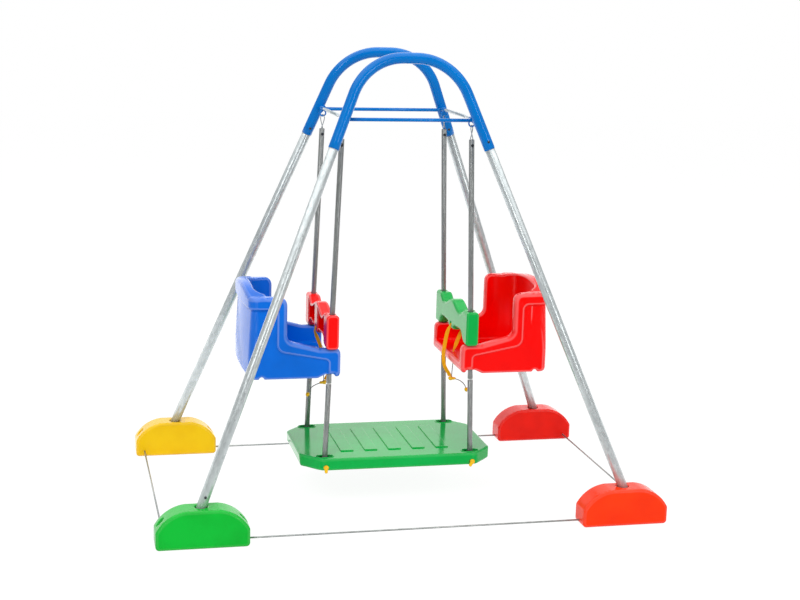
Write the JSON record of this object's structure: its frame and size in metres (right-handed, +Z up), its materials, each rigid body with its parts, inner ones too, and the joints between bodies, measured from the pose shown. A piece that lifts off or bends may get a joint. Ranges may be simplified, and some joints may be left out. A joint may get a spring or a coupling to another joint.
{
  "type": "double swing",
  "caption": "Free-standing face-to-face toddler swing: two bent arches on splayed tube legs carry two bucket seats with lift-up bars over a shared footboard.",
  "frame": {"origin": "on the floor under the middle of the four feet", "axes": "+X from the blue seat to the red seat, +Y from the front arch to the back arch, +Z up"},
  "size_m": [1.676, 1.054, 1.5109],
  "materials": {
    "blue_paint": "gloss",
    "galvanised_steel": "satin",
    "pole_steel": "satin",
    "dark_steel": "satin",
    "blue_plastic": "gloss",
    "red_plastic": "gloss",
    "orange_plastic": "gloss",
    "yellow_plastic": "gloss",
    "green_plastic": "gloss",
    "orange_webbing": "woven",
    "grey_cord": "braided"
  },
  "bodies": {
    "frame": {"arch_front": "blue_paint", "crossbar_front": "blue_paint", "tie_rod_front": "galvanised_steel", "arch_back": "blue_paint", "crossbar_back": "blue_paint", "tie_rod_back": "galvanised_steel", "spacer_left": "galvanised_steel", "tie_rod_left": "galvanised_steel", "spacer_right": "galvanised_steel", "tie_rod_right": "galvanised_steel", "ring_bracket_front_left": "blue_paint", "leg_front_left": "galvanised_steel", "leg_screw_front_left": "dark_steel", "foot_front_left": "green_plastic", "ring_bracket_front_right": "blue_paint", "leg_front_right": "galvanised_steel", "leg_screw_front_right": "dark_steel", "foot_front_right": "orange_plastic", "ring_bracket_back_left": "blue_paint", "leg_back_left": "galvanised_steel", "leg_screw_back_left": "dark_steel", "foot_back_left": "yellow_plastic", "ring_bracket_back_right": "blue_paint", "leg_back_right": "galvanised_steel", "leg_screw_back_right": "dark_steel", "foot_back_right": "red_plastic"},
    "left_swing": {"upper_pole_front_left": "pole_steel", "lower_pole_front_left": "pole_steel", "hanger_pin_front_left": "dark_steel", "wire_link_front_left": "galvanised_steel", "upper_pole_back_left": "pole_steel", "lower_pole_back_left": "pole_steel", "hanger_pin_back_left": "dark_steel", "wire_link_back_left": "galvanised_steel", "seat_left": "blue_plastic", "crotch_strap_left": "orange_webbing", "strap_toggle_left": "yellow_plastic", "lanyard_left": "grey_cord", "lanyard_plug_left": "yellow_plastic"},
    "right_swing": {"upper_pole_front_right": "pole_steel", "lower_pole_front_right": "pole_steel", "hanger_pin_front_right": "dark_steel", "wire_link_front_right": "galvanised_steel", "upper_pole_back_right": "pole_steel", "lower_pole_back_right": "pole_steel", "hanger_pin_back_right": "dark_steel", "wire_link_back_right": "galvanised_steel", "seat_right": "red_plastic", "crotch_strap_right": "orange_webbing", "strap_toggle_right": "yellow_plastic", "lanyard_right": "grey_cord", "lanyard_plug_right": "yellow_plastic", "footboard_pin_front_right": "yellow_plastic", "footboard_pin_back_right": "yellow_plastic"},
    "platform": {"footboard": "green_plastic", "footboard_pin_front_left": "yellow_plastic", "footboard_pin_back_left": "yellow_plastic"},
    "left_bar": {"safety_bar_left": "red_plastic"},
    "right_bar": {"safety_bar_right": "green_plastic"}
  },
  "joints": [
    {"name": "left_swing_hinge", "type": "hinge", "parent": "frame", "child": "left_swing", "pos_m": [-0.215, 0, 1.285], "axis": [0, -1, 0], "range_deg": [-20, 20]},
    {"name": "right_swing_hinge", "type": "hinge", "parent": "frame", "child": "right_swing", "pos_m": [0.215, 0, 1.285], "axis": [0, -1, 0], "range_deg": [-20, 20]},
    {"name": "footboard_hinge", "type": "hinge", "parent": "left_swing", "child": "platform", "pos_m": [-0.2525, 0, 0.141], "axis": [0, -1, 0], "range_deg": [-20, 20]},
    {"name": "left_bar_slide", "type": "slide", "parent": "left_swing", "child": "left_bar", "axis": [0.0328, 0, 0.9995], "range_m": [0, 0.085], "deforming": ["crotch_strap_left"]},
    {"name": "right_bar_slide", "type": "slide", "parent": "right_swing", "child": "right_bar", "axis": [-0.0328, 0, 0.9995], "range_m": [0, 0.085], "deforming": ["crotch_strap_right"]}
  ],
  "couplings": [
    {"joint": "right_swing_hinge", "follows": "left_swing_hinge", "ratio": 1},
    {"joint": "footboard_hinge", "follows": "left_swing_hinge", "ratio": -0.8515}
  ]
}
